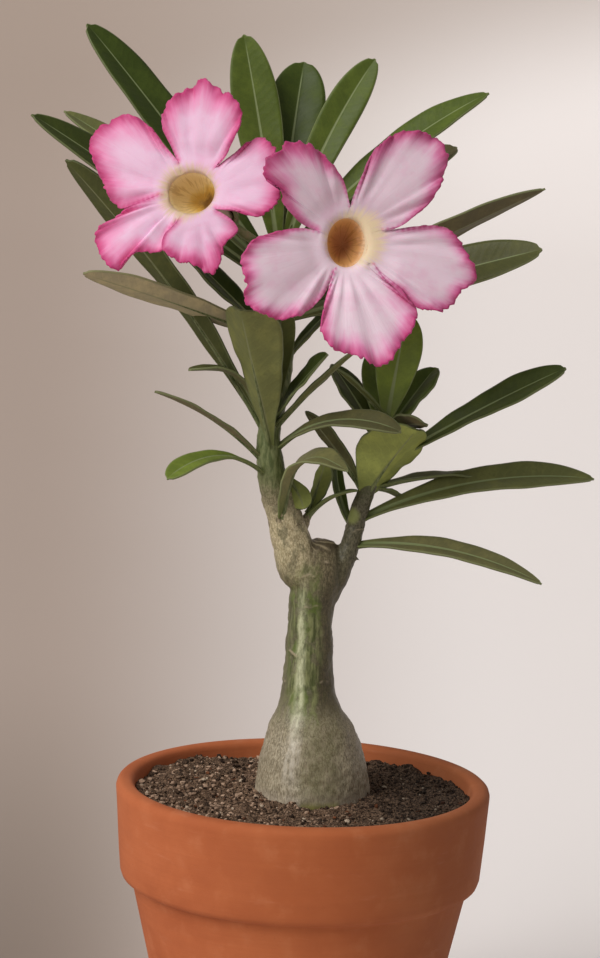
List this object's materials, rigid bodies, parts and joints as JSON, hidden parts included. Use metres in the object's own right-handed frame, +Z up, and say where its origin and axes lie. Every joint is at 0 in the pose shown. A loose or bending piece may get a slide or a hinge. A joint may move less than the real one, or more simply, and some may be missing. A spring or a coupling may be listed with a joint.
{
  "type": "potted desert rose",
  "caption": "Desert rose succulent with a swollen stem, two leafy branches and open pink flowers, growing in a round clay pot of soil.",
  "frame": {"origin": "centre of the pot's foot, on the ground", "axes": "+Z up along the pot's axis, -Y towards the side that the flowers face, +X to the right seen from there"},
  "size_m": [0.1885, 0.125, 0.3599],
  "materials": {
    "terracotta": "matte",
    "potting_soil": "matte",
    "bark": "matte",
    "leaf": "satin",
    "petal": "matte",
    "throat": "matte",
    "calyx": "satin"
  },
  "bodies": {
    "root": {"pot": "terracotta", "soil": "potting_soil", "trunk": "bark", "left_leafy_stem": "leaf", "right_leafy_stem": "leaf", "side_shoot": "leaf", "left_flower_petals": "petal", "left_flower_throat": "throat", "left_flower_calyx": "calyx", "right_flower_petals": "petal", "right_flower_throat": "throat", "right_flower_calyx": "calyx"}
  },
  "joints": []
}
